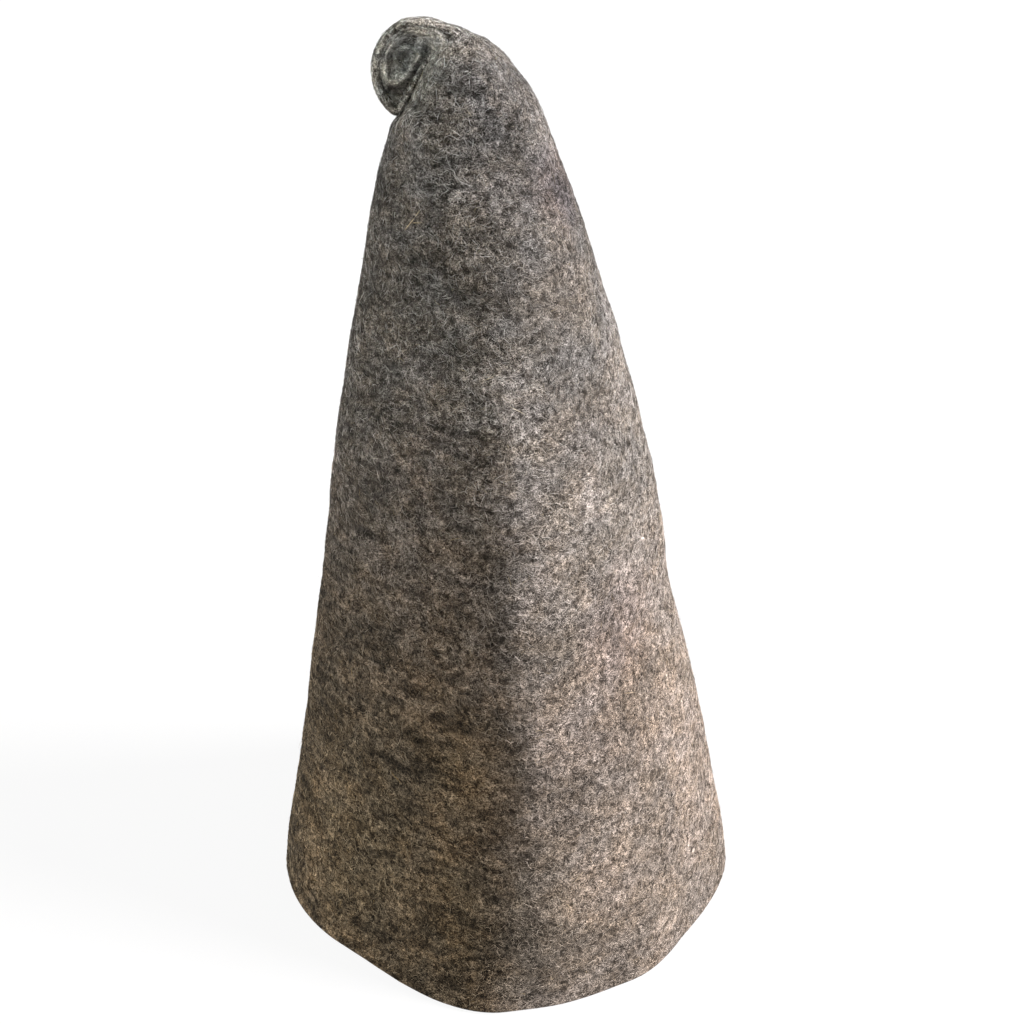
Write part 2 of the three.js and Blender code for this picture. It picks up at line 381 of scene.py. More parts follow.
inner_rows = [from_sides(r, WALL * 1.035) for r in CONE] + [from_ends(r) for r in HOLLOW]
inner_at = lengths(inner_rows)
inner_where = np.linspace(0, inner_at[-1], 96)
inner = rings(smooth_rows(inner_rows, inner_at, inner_where))

def hem_lift(p):
    """The hem's lower edge isn't quite level: up to about a millimetre off the table."""
    azimuth = np.arctan2(p[..., 0] - CENTRE_X, -p[..., 1])
    return 0.45 + 0.25 * np.sin(3 * azimuth + 0.6) + 0.2 * np.sin(7 * azimuth + 2.1)


def core_rings(around=150, rings_in=46):
    """The core as rings from its front middle over its buried rim to its back middle."""
    turn = -2 * np.pi * np.arange(around) / around
    ray = np.c_[np.cos(turn), np.sin(turn)]
    reach = np.full(around, 1e9)
    poly = np.array(CORE_OUTLINE) - CORE_AXIS
    for a, b in zip(poly, np.roll(poly, -1, 0)):
        d = b - a
        det = ray[:, 0] * -d[1] + ray[:, 1] * d[0]
        with np.errstate(divide="ignore", invalid="ignore"):
            t = (a[0] * -d[1] + a[1] * d[0]) / det
            u = (ray[:, 0] * a[1] - ray[:, 1] * a[0]) / det
        hit = (t > 0) & (u >= -1e-6) & (u <= 1 + 1e-6)
        reach = np.where(hit, np.minimum(reach, t), reach)
    reach = (np.roll(reach, 1) + 2 * reach + np.roll(reach, -1)) / 4
    share = np.linspace(0.015, 1, rings_in)[:, None]
    x = CORE_AXIS[0] + ray[:, 0] * reach * share
    z = CORE_AXIS[1] + ray[:, 1] * reach * share
    valley = CORE_FRONT + CORE_RISE * (z - CORE_AXIS[1])
    front = np.zeros(x.shape)
    for table in (CORE_CREST, CORE_SHELF):
        line = np.array(table)
        fine_at = np.linspace(0, len(line) - 1, 8 * len(line))
        line = smooth_rows(line, np.arange(len(line), dtype=float), fine_at)
        d = np.hypot(x[..., None] - line[:, 0], z[..., None] - line[:, 1])
        front = np.maximum(front, np.max((line[:, 2] - valley[..., None]) * np.exp(-((d / line[:, 3]) ** 2)), -1))
    # how far the felt stands up: it drives the painted highlight on the folds and the painted shade between the turns;
    # the spots below lower it in the pits and raise it on the lumps
    ridge = np.clip(front / 4.5, 0, 1)
    front = valley + front
    for sx, sz, out, radius in CORE_SPOTS:
        spot = np.exp(-((np.hypot(x - sx, z - sz) / radius) ** 2))
        front = front + out * spot
        ridge = np.clip(ridge + 0.2 * out * spot, 0, 1)
    front = np.maximum(front, 1.2)
    rim = front[-1]
    side = [np.stack([x[-1] + CENTRE_X, -rim * f, z[-1] + TIP_FALL * rim * f], -1) for f in (0.6, 0.2, -0.2, -0.6)]
    face = np.stack([x + CENTRE_X, -front, z + TIP_FALL * front], -1)
    back = np.stack([x + CENTRE_X, front, z - TIP_FALL * front], -1)[::-1]
    flank = np.repeat(ridge[-1:], len(side), 0)
    return np.concatenate([face, np.array(side), back]), np.concatenate([ridge, flank, ridge[::-1]])


outer_n = grid_normals(outer)
inner_n = grid_normals(inner)
# close to the table the relief fades, so that the hem stands flat
settle = 1 - 0.7 * np.exp(-outer[..., 2] / 6) * (1 - on_roll)
outer_felt = outer + outer_n * (relief(outer, outer_n, on_roll) * settle + hem_wave(outer))[..., None]
inner_relief = (
    0.85 * waves(inner, 95, 11, squash=(1, 1, 1.2))
    + 0.3 * waves(inner, 31, 22)
    + 0.2 * waves(inner, 12, 23)
    + 0.1 * waves(inner, 7.5, 24, 64)
)
inner_felt = inner + inner_n * (inner_relief + hem_wave(inner))[..., None]

# hem: a rounded lip between the inner and the outer wall
LIP = 9
hem_low = hem_lift(outer_felt[0])
lip = []
for k in range(LIP + 1):
    f = math.pi * k / LIP  # from the inside, under, to the outside
    mix_ = (1 - math.cos(f)) / 2
    drop = math.sin(f)
    edge_in, edge_out = inner_felt[0].copy(), outer_felt[0].copy()
    pt = edge_in * (1 - mix_) + edge_out * mix_
    pt[:, 2] = 1.55 * (1 - drop) + hem_low * drop * 0.35
    lip.append(pt)
lip = np.array(lip)


def lift_wall(wall, low):
    """Raises the lowest rings onto the lip without squashing them."""
    w = wall.copy()
    z = w[..., 2]
    w[..., 2] = np.where(z < 12, 1.55 + (z.clip(0) * (12 - 1.55) / 12), z)
    return w


outer_felt, inner_felt = lift_wall(outer_felt, 1.55), lift_wall(inner_felt, 1.55)
sheet = np.concatenate([inner_felt[::-1], lip[1:-1], outer_felt])


def mesh(name, verts_mm, faces, smooth=True, uv=None):
    """A mesh object from millimetre points and an array of faces with equal corners."""
    me = bpy.data.meshes.new(name)
    v = np.asarray(verts_mm, float) / 1000
    me.vertices.add(len(v))
    me.vertices.foreach_set("co", v.astype(np.float32).ravel())
    groups = faces if isinstance(faces, list) else [faces]
    loops = np.concatenate([f.ravel() for f in groups]).astype(np.int32)
    totals = np.concatenate([np.full(len(f), f.shape[1]) for f in groups]).astype(np.int32)
    me.loops.add(len(loops))
    me.loops.foreach_set("vertex_index", loops)
    me.polygons.add(len(totals))
    me.polygons.foreach_set("loop_start", np.r_[0, np.cumsum(totals)[:-1]].astype(np.int32))
    me.polygons.foreach_set("loop_total", totals)
    me.polygons.foreach_set("use_smooth", np.full(len(totals), smooth))
    me.update(calc_edges=True)
    if uv is not None:
        layer = me.uv_layers.new(name="OFBake")
        layer.data.foreach_set("uv", uv.astype(np.float32).ravel())
    me.validate()
    ob = bpy.data.objects.new(name, me)
    bpy.context.scene.collection.objects.link(ob)
    return ob


def grid_faces(n_rings, around):
    r, c = np.meshgrid(np.arange(n_rings - 1), np.arange(around), indexing="ij")
    d = (c + 1) % around
    f = np.stack([r * around + c, r * around + d, (r + 1) * around + d, (r + 1) * around + c], -1)
    return f.reshape(-1, 4)


def closed_sheet(p):
    """Vertices, faces and map of a grid of rings whose two ends close in a point."""
    n, around = p.shape[:2]
    verts = np.concatenate([p.reshape(-1, 3), [p[0].mean(0), p[-1].mean(0)]])
    quads = grid_faces(n, around)
    a, b = n * around, n * around + 1
    c = np.arange(around)
    d = (c + 1) % around
    last = (n - 1) * around
    caps = np.concatenate([np.stack([np.full(around, a), d, c], -1), np.stack([np.full(around, b), last + c, last + d], -1)])
    along = np.linalg.norm(np.diff(p, axis=0), axis=2).mean(1)
    v = 0.01 + 0.98 * np.r_[0, np.cumsum(along)] / along.sum()
    r, k = np.meshgrid(np.arange(n - 1), np.arange(around), indexing="ij")
    lo, hi, left, right = v[r], v[r + 1], k / around, (k + 1) / around
    uv_quads = np.stack([np.stack([left, lo], -1), np.stack([right, lo], -1), np.stack([right, hi], -1), np.stack([left, hi], -1)], 2)
    u0, u1 = c / around, (c + 1) / around
    mid = (u0 + u1) / 2
    flat = lambda u, w: np.stack([u, np.full(around, w)], -1)
    uv_caps = np.concatenate([
        np.stack([flat(mid, 0.001), flat(u1, v[0]), flat(u0, v[0])], 1),
        np.stack([flat(mid, 0.999), flat(u0, v[-1]), flat(u1, v[-1])], 1),
    ])
    return verts, [quads, caps], np.concatenate([uv_quads.reshape(-1, 2), uv_caps.reshape(-1, 2)])


verts, faces, uv = closed_sheet(sheet)
felt = mesh("felt_shell", verts, faces, uv=uv)
core_grid, core_ridge = core_rings()
core_grid = core_grid + grid_normals(core_grid) * (0.13 * waves(core_grid, 5.5, 31, 48))[..., None]
verts, faces, uv = closed_sheet(core_grid)
core = mesh("felt_roll_core", verts, faces, uv=uv)
# the fold mask, for the painted fold highlight and shade of the roll's material
ridge_tone = core.data.attributes.new("turn_ridge", "FLOAT", "POINT")
ridge_tone.data.foreach_set("value", np.r_[core_ridge.ravel(), core_ridge[0].mean(), core_ridge[-1].mean()].astype(np.float32))


# ---- fibres ---------------------------------------------------------------------
def sample(grid, r, c):
    """Bilinear value of a grid of rings at ring r and column c, both with fractions."""
    n, around = grid.shape[:2]
    r = np.clip(r, 0, n - 1.001)
    i, j = np.floor(r).astype(int), np.floor(c).astype(int)
    u, v = (r - i)[..., None], (c - j)[..., None]
    j0, j1 = j % around, (j + 1) % around
    return (
        grid[i, j0] * (1 - u) * (1 - v) + grid[i + 1, j0] * u * (1 - v) + grid[i, j1] * (1 - u) * v + grid[i + 1, j1] * u * v
    )


class Ground:
    """A felt surface that fibres lie on."""

    def __init__(self, grid):
        self.grid = grid
        self.normal = grid_normals(grid)
        self.dr = np.linalg.norm(np.diff(grid, axis=0, append=grid[-1:] * 2 - grid[-2:-1]), axis=2)
        self.dc = np.linalg.norm(np.roll(grid, -1, 1) - grid, axis=2)
        area = (self.dr * self.dc)[:-1]
        self.cumulative = np.cumsum(area.ravel())
        self.area = self.cumulative[-1]

    def roots(self, rng, count):
        k = np.searchsorted(self.cumulative, rng.uniform(0, self.area, count))
        k = np.clip(k, 0, len(self.cumulative) - 1)
        around = self.grid.shape[1]
        return k // around + rng.uniform(0, 1, count), k % around + rng.uniform(0, 1, count)


FIBRE_POINTS = 4


def fibre_paths(ground, rng, count, length, curl, lift, roots=None):
    """Curved paths that lie on the ground. length, lift: low and high, in mm."""
    r, c = ground.roots(rng, count) if roots is None else roots
    total = rng.uniform(*length, count) * rng.uniform(0.55, 1.0, count)
    heading = rng.uniform(0, 2 * np.pi, count)
    heading = np.arctan2(1.5 * np.sin(heading), np.cos(heading))  # more around than along
    bend = rng.normal(0, curl, count)
    wiggle = rng.normal(0, curl * 0.6, (FIBRE_POINTS, count))
    rise = rng.uniform(*lift, count)
    form = rng.uniform(0, 1, count)  # arch in the middle, or one end free
    path, up = [], []
    step = total / (FIBRE_POINTS - 1)
    for k in range(FIBRE_POINTS):
        t = k / (FIBRE_POINTS - 1)
        height = np.where(form < 0.6, math.sin(math.pi * t), t * t) * rise + 0.03
        n = sample(ground.normal, r, c)
        path.append(sample(ground.grid, r, c) + n * height[:, None])
        up.append(n)
        i = np.clip(np.floor(r).astype(int), 0, ground.grid.shape[0] - 1)
        j = np.floor(c).astype(int) % ground.grid.shape[1]
        a = heading + bend * t + wiggle[k]
        r = r + np.cos(a) * step / np.maximum(ground.dr[i, j], 0.3)
        c = c + np.sin(a) * step / np.maximum(ground.dc[i, j], 0.3)
        r = np.clip(r, 0, ground.grid.shape[0] - 1.01)
    return np.array(path), np.array(up)


def fibre_mesh(name, path, up, radius, tone):
    """One closed three-sided spindle along each path, joined in one mesh."""
    n, count = path.shape[:2]
    tangent = np.gradient(path, axis=0)
    tangent /= np.maximum(np.linalg.norm(tangent, axis=2, keepdims=True), 1e-9)
    side = np.cross(tangent, up)
    side /= np.maximum(np.linalg.norm(side, axis=2, keepdims=True), 1e-9)
    over = np.cross(side, tangent)
    taper = np.interp(np.arange(1, n - 1), [1, (n - 1) / 2, n - 2], [0.9, 1.05, 0.8])[:, None]
    v = np.empty((count, 3 * (n - 2) + 2, 3))
    for k in range(3):
        a = 2 * np.pi * k / 3 + np.pi / 2
        ring = path[1:-1] + (taper * radius)[..., None] * (math.cos(a) * side + math.sin(a) * over)[1:-1]
        v[:, 1 + k : 1 + 3 * (n - 2) : 3] = np.swapaxes(ring, 0, 1)
    v[:, 0], v[:, -1] = path[0], path[-1]
    v[..., 2] = np.maximum(v[..., 2], 0.12)
    k, j = np.meshgrid(np.arange(n - 3), np.arange(3), indexing="ij")
    m = (j + 1) % 3
    quads = np.stack([1 + k * 3 + j, 1 + (k + 1) * 3 + j, 1 + (k + 1) * 3 + m, 1 + k * 3 + m], -1).reshape(-1, 4)
    end = 3 * (n - 2) + 1
    caps = np.array([[0, 1 + i, 1 + (i + 1) % 3] for i in range(3)] + [[end, end - 3 + (i + 1) % 3, end - 3 + i] for i in range(3)])
    base = (np.arange(count) * (3 * (n - 2) + 2))[:, None, None]
    all_quads, all_caps = (quads[None] + base).reshape(-1, 4), (caps[None] + base).reshape(-1, 3)
    # each fibre has its own small field on the map, so that its tone can be kept
    cells = math.ceil(math.sqrt(count))
    cell = np.stack([np.arange(count) % cells, np.arange(count) // cells], -1) / cells
    corner = (np.array([[0.25, 0.25], [0.75, 0.25], [0.75, 0.75], [0.25, 0.75]]) / cells)
    uv_q = np.repeat(cell, len(quads), 0)[:, None] + corner[None]
    uv_c = np.repeat(cell, len(caps), 0)[:, None] + corner[None, :3]
    ob = mesh(name, v.reshape(-1, 3), [all_quads, all_caps], uv=np.concatenate([uv_q.reshape(-1, 2), uv_c.reshape(-1, 2)]))
    shade = ob.data.attributes.new("wool_tone", "FLOAT_COLOR", "POINT")
    shade.data.foreach_set("color", np.repeat(np.c_[tone, np.ones(count)], v.shape[1], 0).astype(np.float32).ravel())
    return ob


# tones of single wool hairs, linear
TONES = [
    # r, g, b, share
    (0.61, 0.556, 0.521, 0.35),
    (0.40, 0.357, 0.323, 0.13),
    (0.20, 0.170, 0.146, 0.10),
    (0.070, 0.058, 0.047, 0.13),
    (0.010, 0.008, 0.0065, 0.34),
    (0.48, 0.39, 0.26, 0.008),
]


def tones(rng, count, pale=1.0):
    t = np.array(TONES)
    share = t[:, 3] * np.array([pale, pale, 1, 1, 1, 1])
    pick = rng.choice(len(t), count, p=share / share.sum())
    return np.clip(t[pick, :3] * rng.uniform(0.75, 1.2, count)[:, None], 0, 0.85)


outside = Ground(outer_felt)
inside = Ground(inner_felt[::-1])
roll_end = Ground(core_grid)
rng = np.random.default_rng(20)
fibres = []
# straws caught in the wool: where they start and end on the front, how thick
STRAWS = [
    # x, z, x, z, radius, tone
    (-41.8, 324.0, -37.2, 330.2, 0.24, (0.88, 0.68, 0.46)),
    (-37.2, 330.2, -35.0, 333.4, 0.19, (0.92, 0.74, 0.52)),
    (-38.6, 327.8, -34.4, 328.6, 0.14, (0.80, 0.62, 0.42)),
    (15.4, 327.4, 23.0, 325.6, 0.12, (0.78, 0.72, 0.62)),
    (22.6, 325.8, 29.6, 323.0, 0.11, (0.74, 0.68, 0.58)),
    (-2.0, 262.4, 5.6, 258.2, 0.10, (0.70, 0.60, 0.46)),
    (46.2, 131.0, 53.0, 127.6, 0.11, (0.66, 0.55, 0.40)),
    (-52.8, 92.4, -47.6, 88.4, 0.12, (0.52, 0.40, 0.24)),
    (30.8, 62.6, 25.0, 58.2, 0.11, (0.60, 0.50, 0.36)),
]
SETS = [
    # name, ground, count, length, curl, lift, radius low, radius high, pale share
    ("wool_nap_a", outside, 14500, (4.5, 10), 0.8, (0.03, 0.34), 0.052, 0.088, 1.0),
    ("wool_nap_b", outside, 14500, (3.5, 8), 1.0, (0.03, 0.30), 0.050, 0.080, 1.0),
    ("wool_nap_c", outside, 14500, (3, 7), 1.2, (0.03, 0.26), 0.046, 0.076, 1.0),
    ("wool_nap_d", outside, 14500, (2.5, 6), 1.3, (0.03, 0.24), 0.046, 0.074, 1.0),
    ("wool_nap_inside", inside, 5000, (4.5, 10), 0.9, (0.05, 0.5), 0.060, 0.095, 1.0),
    ("wool_nap_roll", roll_end, 420, (1.8, 3.8), 1.1, (0.03, 0.22), 0.036, 0.058, 1.0),
    ("wool_fuzz", outside, 2600, (3, 6), 1.4, (0.3, 0.8), 0.028, 0.044, 1.0),
    ("wool_flyaway", outside, 300, (5, 10), 0.9, (0.8, 2.0), 0.028, 0.040, 1.0),
]
for name, ground, count, length, curl, lift, thin, thick, pale in SETS:
    path, up = fibre_paths(ground, rng, count, length, curl, lift)
    fibres.append(fibre_mesh(name, path, up, rng.uniform(thin, thick, count)[None, :], tones(rng, count, pale)))


face = outer_felt[outer_felt[..., 1] < 0]
face_n = outer_n[outer_felt[..., 1] < 0]
straw_path, straw_up = [], []
for x0, z0, x1, z1, *_ in STRAWS:
    path, up = [], []
    for k in range(FIBRE_POINTS):
        t = k / (FIBRE_POINTS - 1)
        x, z = x0 + (x1 - x0) * t + CENTRE_X, z0 + (z1 - z0) * t
        near = np.argsort(np.hypot(face[:, 0] - x, face[:, 2] - z))[:4]
        n = face_n[near].mean(0)
        path.append(np.array([x, face[near, 1].mean(), z]) + n * (0.30 + 0.25 * math.sin(math.pi * t)))
        up.append(n)
    straw_path.append(path)
    straw_up.append(up)
straw_path, straw_up = np.swapaxes(np.array(straw_path), 0, 1), np.swapaxes(np.array(straw_up), 0, 1)
straw_size = np.array([row[4] for row in STRAWS])[None, :]
fibres.append(fibre_mesh("wool_straws", straw_path, straw_up, straw_size, np.array([row[5] for row in STRAWS])))


# ---- materials ------------------------------------------------------------------
# Uneven wool, and painted light and painted shade: where a lighter, darker, redder or greener patch lies, and how far.
# The rows marked below are painted light or painted shade.
WOOL_AND_LIGHT_TINTS = [
    # x, y, z, radius, tint red, green, blue
    # painted light on the rolled tip's outer turn, which lies in the body's shade
    (-40, -16, 386, 25, 1.60, 1.73, 1.72),
    # painted shade high on the left
    (-38, -34, 304, 60, 0.79, 0.79, 0.79),
    (36, -64, 122, 46, 0.88, 0.88, 0.89),
    (0, -27, 374, 40, 0.65, 0.67, 0.69),
    (-2, -56, 262, 32, 1.27, 1.26, 1.25),
    (-40, -46, 235, 40, 0.92, 0.90, 0.88),
    (-32, -68, 130, 30, 0.84, 0.82, 0.79),
    (0, -98, 40, 60, 0.84, 0.83, 0.78),
    (-17, -64, 203, 30, 0.96, 0.94, 0.91),
    (-14, -83, 104, 36, 0.96, 0.92, 0.83),
    (20, -75, 152, 28, 0.82, 0.82, 0.81),
    (20, -32, 300, 30, 1.04, 0.99, 0.94),
    (46, -48, 158, 36, 0.84, 0.80, 0.81),
    (22, -14, 338, 26, 0.94, 0.88, 0.92),
    (60, -46, 126, 36, 0.92, 0.89, 0.85),
    # painted shade along the left edge
    (-82, -12, 158, 36, 0.82, 0.81, 0.79),
    # painted shade along the upper left edge
    (-66, -6, 270, 60, 0.80, 0.80, 0.79),
    (0, -100, 6, 46, 0.84, 0.84, 0.84),
    (34, -41, 250, 30, 0.70, 0.70, 0.70),
    (-50, -18, 338, 40, 0.76, 0.76, 0.76),
    (2, -30, 350, 28, 0.80, 0.80, 0.80),
    (-18, -42, 318, 26, 0.92, 0.92, 0.92),
    # painted light on the shoulder beside the roll
    (-24, -20, 394, 18, 1.48, 1.52, 1.54),
    (44, -70, 110, 40, 0.86, 0.86, 0.86),
    (16, -88, 98, 30, 0.90, 0.90, 0.90),
    (52, -66, 30, 44, 0.88, 0.87, 0.85),
    (-58, -46, 195, 64, 0.90, 0.90, 0.89),
    (-2, -86, 92, 30, 0.80, 0.80, 0.80),
    (24, -46, 258, 26, 0.82, 0.82, 0.82),
    (16, -12, 362, 24, 1.60, 1.59, 1.58),
    (-2, -14, 388, 16, 1.25, 1.25, 1.25),
    # painted light low on the left
    (-72, -52, 44, 60, 1.42, 1.41, 1.35),
]


class Nodes:
    def __init__(self, name):
        self.mat = bpy.data.materials.new(name)
        self.mat.use_nodes = True
        self.tree = self.mat.node_tree
        self.tree.nodes.clear()

    def add(self, kind, **values):
        n = self.tree.nodes.new(kind)
        for k, v in values.items():
            setattr(n, k, v)
        return n

    def link(self, a, b):
        self.tree.links.new(a, b)

    def math(self, op, a, b=None, clamp=False):
        n = self.add("ShaderNodeMath", operation=op, use_clamp=clamp)
        for i, v in enumerate((a, b)):
            if v is None:
                continue
            if isinstance(v, (int, float)):
                n.inputs[i].default_value = v
            else:
                self.link(v, n.inputs[i])
        return n.outputs[0]

    def span(self, v, lo, hi, to_lo=0.0, to_hi=1.0, smooth=True):
        n = self.add("ShaderNodeMapRange", interpolation_type="SMOOTHSTEP" if smooth else "LINEAR")
        self.link(v, n.inputs[0])
        for i, x in enumerate((lo, hi, to_lo, to_hi)):
            n.inputs[i + 1].default_value = x
        return n.outputs[0]

    def scaled(self, vector, scale, offset=(0, 0, 0), turn=(0, 0, 0)):
        n = self.add("ShaderNodeMapping")
        self.link(vector, n.inputs[0])
        n.inputs["Location"].default_value = offset
        n.inputs["Rotation"].default_value = turn
        n.inputs["Scale"].default_value = scale
        return n.outputs[0]

    def noise(self, vector, scale, detail=2.0, rough=0.5, twist=0.0, lac=2.0):
        n = self.add("ShaderNodeTexNoise")
        self.link(vector, n.inputs["Vector"])
        n.inputs["Scale"].default_value = scale
        n.inputs["Detail"].default_value = detail
        n.inputs["Roughness"].default_value = rough
        n.inputs["Distortion"].default_value = twist
        n.inputs["Lacunarity"].default_value = lac
        return n.outputs["Fac"]

    def mix(self, factor, a, b, blend="MIX"):
        n = self.add("ShaderNodeMix", data_type="RGBA", blend_type=blend)
        for socket, v in ((n.inputs[0], factor), (n.inputs[6], a), (n.inputs[7], b)):
            if isinstance(v, (int, float)):
                socket.default_value = v
            elif isinstance(v, tuple):
                socket.default_value = (*v, 1.0)
            else:
                self.link(v, socket)
        return n.outputs[2]

    def tinted(self, base, at):
        """The base colour with the wool's slow changes over the whole hat, and with painted shade and painted light:
        see the marks below and the table of tints.
        """
        place = self.add("ShaderNodeSeparateXYZ")
        self.link(at, place.inputs[0])
        x, z = place.outputs[0], place.outputs[2]
        # greyer towards the tip, browner towards the hem
        grey = self.mix(self.span(z, 0.06, 0.34), (1.0, 0.958, 0.900), (0.90, 0.966, 0.995))
        base = self.mix(1.0, base, grey, "MULTIPLY")
        # darker high on the right: painted shade on the top of the lit side
        painted_shade_high_right = self.math("MULTIPLY", self.span(z, 0.21, 0.34), self.span(x, -0.025, 0.010))
        base = self.mix(painted_shade_high_right, base, (0.60, 0.595, 0.60), "MULTIPLY")
        # more olive low on the left: a painted tint of the coloured fill light on the shaded side
        painted_fill_tint_low_left = self.math("MULTIPLY", self.span(z, 0.23, 0.07), self.span(x, 0.015, -0.025))
        base = self.mix(painted_fill_tint_low_left, base, (0.99, 0.965, 0.83), "MULTIPLY")
        # darker streaks that run around the hat, only on its left
        left_streak = self.noise(self.scaled(at, (1, 1, 4.2), (5.3, 2.2, 0.9)), 42.0, 2.0, 0.55, 0.8)
        left_streak = self.math("MULTIPLY", self.span(left_streak, 0.48, 0.66), self.span(x, 0.014, -0.012))
        base = self.mix(left_streak, base, (0.60, 0.60, 0.60), "MULTIPLY")
        # painted shade on the shaded left: there the darks are deeper and the pales lighter than on the right
        left_painted_contrast = self.add("ShaderNodeGamma")
        left_painted_contrast.inputs[1].default_value = 1.25
        self.link(base, left_painted_contrast.inputs[0])
        left_painted_contrast = self.mix(1.0, left_painted_contrast.outputs[0], (1.41, 1.41, 1.41), "MULTIPLY")
        base = self.mix(self.span(x, 0.010, -0.012), base, left_painted_contrast)
        # each tint of the table: wool batches, painted light and painted shade
        for bx, by, bz, radius, *tint in WOOL_AND_LIGHT_TINTS:
            far = self.add("ShaderNodeVectorMath", operation="DISTANCE")
            self.link(at, far.inputs[0])
            far.inputs[1].default_value = (bx / 1000, by / 1000, bz / 1000)
            near = self.span(far.outputs["Value"], 0.2 * radius / 1000, radius / 1000, 1.0, 0.0)
            base = self.mix(near, base, tuple(tint), "MULTIPLY")
        return base

    def hairs(self, vector, scale, width, twist, offset):
        """Thin curled lines, 1 on a line and 0 off it: where a noise crosses its middle."""
        v = self.scaled(vector, (1, 1, 1.3), offset)
        f = self.noise(v, scale, 1.0, 0.5, twist)
        off = self.math("ABSOLUTE", self.math("SUBTRACT", f, 0.5))
        return self.span(off, 0.0, width, 1.0, 0.0)


def felt_material(name, dark, mid, pale, warm, turns=False):
    m = Nodes(name)
    at = m.add("ShaderNodeTexCoord").outputs["Object"]
    # uneven carding: greyer and browner, lighter and darker patches
    patch = m.noise(at, 26.0, 2.0, 0.5, 0.6)
    cloud = m.noise(m.scaled(at, (1, 1, 1.8), (3.1, 0.4, 1.7)), 85.0, 3.0, 0.55, 0.8)
    mottle = m.noise(m.scaled(at, (1, 1, 1.55), (0.7, 5.2, 2.3)), 420.0, 3.0, 0.70, 1.2)
    grain = m.noise(m.scaled(at, (1, 1, 1.25), (8.7, 1.2, 4.1)), 1150.0, 2.0, 0.7, 0.8)
    hue = m.noise(m.scaled(at, (1, 1, 1.3), (1.9, 7.3, 3.6)), 60.0, 3.0, 0.6, 0.5)
    tone = m.math("ADD", m.math("MULTIPLY", mottle, 0.39), m.math("MULTIPLY", grain, 0.61))
    base = m.mix(m.span(tone, 0.37, 0.60), dark, mid)
    # pale and dark hairs worked into the surface, in several layers
    hair = None
    for k, (scale, width, twist, strength, tint) in enumerate([
        (170.0, 0.018, 2.0, 0.90, pale),
        (230.0, 0.022, 1.6, 0.85, dark),
        (290.0, 0.025, 2.4, 0.95, pale),
        (370.0, 0.030, 2.0, 0.85, dark),
        (470.0, 0.035, 2.2, 0.95, pale),
        (660.0, 0.045, 2.0, 0.95, pale),
        (840.0, 0.060, 1.8, 0.90, dark),
    ]):
        line = m.hairs(at, scale, width, twist, (1.3 * k + 0.2, 2.1 * k, 0.7 * k))
        gate = m.noise(m.scaled(at, (1, 1, 1), (4.0 + k, 2.0 * k, 1.0)), 330.0, 1.0, 0.5, 0.4)
        mask = m.math("MULTIPLY", m.math("MULTIPLY", line, m.span(gate, 0.34, 0.62)), strength)
        base = m.mix(mask, base, tint)
        hair = mask if hair is None else m.math("MAXIMUM", hair, mask)
    base = m.mix(m.span(cloud, 0.34, 0.66), base, (0.65, 0.65, 0.65), "MULTIPLY")
    base = m.mix(m.span(patch, 0.34, 0.66), base, (0.64, 0.64, 0.64), "MULTIPLY")
    base = m.mix(m.span(hue, 0.34, 0.66), base, warm, "MULTIPLY")
    base = m.mix(m.span(patch, 0.62, 0.38), base, (1.0, 0.975, 0.965), "MULTIPLY")
    # the hat's slow changes, with painted shade and painted light
    base = m.tinted(base, at)
    if turns:  # painted shade between the roll's turns, painted highlight on their folds
        fold_light_mask = m.add("ShaderNodeAttribute", attribute_name="turn_ridge").outputs["Fac"]
        base = m.mix(1.0, base, m.mix(m.span(fold_light_mask, 0.05, 0.75), (0.96, 0.96, 0.96), (1.52, 1.52, 1.52)), "MULTIPLY")
    height = m.math("ADD", m.math("MULTIPLY", mottle, 0.25), m.math("MULTIPLY", grain, 0.75))
    height = m.math("ADD", height, m.math("MULTIPLY", hair, 0.3))
    height = m.math("ADD", height, m.math("MULTIPLY", cloud, 0.15))
    bump = m.add("ShaderNodeBump")
    bump.inputs["Strength"].default_value = 0.38
    bump.inputs["Distance"].default_value = 0.0012
    m.link(height, bump.inputs["Height"])
    p = m.add("ShaderNodeBsdfPrincipled")
    m.link(base, p.inputs["Base Color"])
    m.link(bump.outputs["Normal"], p.inputs["Normal"])
    p.inputs["Roughness"].default_value = 0.95
    p.inputs["Specular IOR Level"].default_value = 0.05
    p.inputs["Sheen Weight"].default_value = 0.04
    p.inputs["Sheen Roughness"].default_value = 0.55
    p.inputs["Sheen Tint"].default_value = (0.9, 0.86, 0.8, 1)
    out = m.add("ShaderNodeOutputMaterial")
    m.link(p.outputs[0], out.inputs["Surface"])
    return m.mat


def hair_material(name):
    m = Nodes(name)
    tone = m.add("ShaderNodeAttribute", attribute_name="wool_tone").outputs["Color"]
    at = m.add("ShaderNodeTexCoord").outputs["Object"]
    along = m.noise(at, 420.0, 1.0, 0.5)
    shade = m.mix(m.span(along, 0.30, 0.70, 0.0, 0.35), tone, (0.06, 0.048, 0.038))
    # the hairs take the same slow changes, painted shade and painted light as the felt
    shade = m.tinted(shade, at)
    p = m.add("ShaderNodeBsdfPrincipled")
    m.link(shade, p.inputs["Base Color"])
    p.inputs["Roughness"].default_value = 0.85
    p.inputs["Specular IOR Level"].default_value = 0.10
    out = m.add("ShaderNodeOutputMaterial")
    m.link(p.outputs[0], out.inputs["Surface"])
    return m.mat


wool = felt_material("wool_felt", dark=(0.006, 0.0050, 0.0042), mid=(0.084, 0.070, 0.061), pale=(0.66, 0.594, 0.556), warm=(1.0, 0.945, 0.865))
